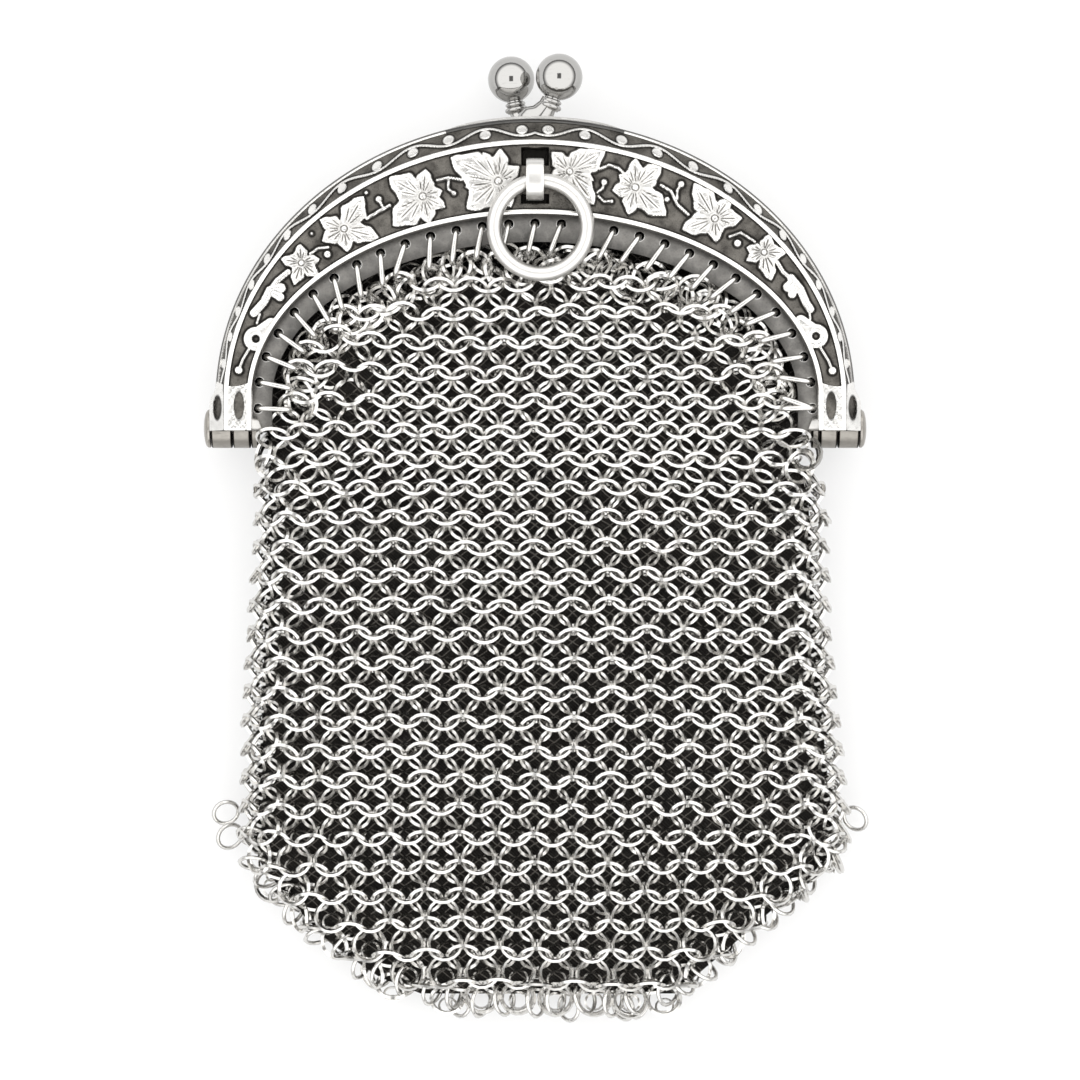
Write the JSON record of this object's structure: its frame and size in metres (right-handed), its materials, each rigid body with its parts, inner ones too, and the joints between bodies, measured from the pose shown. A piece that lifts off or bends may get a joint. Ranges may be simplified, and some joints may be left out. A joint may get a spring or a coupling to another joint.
{
  "type": "metal mesh coin purse",
  "caption": "Ring mail coin purse with a hinged arched frame, ornamented band, kiss clasp of two balls and a carrying ring.",
  "frame": {"origin": "centre of the bounding box at its base, where the purse lies on its back", "axes": "+X to the right of the face, +Y towards the clasp, +Z out of the face"},
  "size_m": [0.0666, 0.0966, 0.0143],
  "materials": {
    "frame_silver": "oxidised silver, polished on the raised parts",
    "mail_silver": "worn bright silver wire",
    "lining_cloth": "matt near-black cloth"
  },
  "bodies": {
    "purse": {"frame_front": "frame_silver", "frame_back": "frame_silver", "hinge_pin_left": "frame_silver", "hinge_pin_right": "frame_silver", "clasp_knob_left": "frame_silver", "clasp_knob_right": "frame_silver", "bail": "frame_silver", "mail_front": "mail_silver", "mail_back": "mail_silver", "lining": "lining_cloth"},
    "ring": {"carrying_ring": "frame_silver"}
  },
  "joints": [
    {"name": "ring_swing", "type": "hinge", "parent": "purse", "child": "ring", "pos_m": [0.00055, 0.0351, 0.0126], "axis": [-1, 0, 0], "range_deg": [0, 165]}
  ]
}
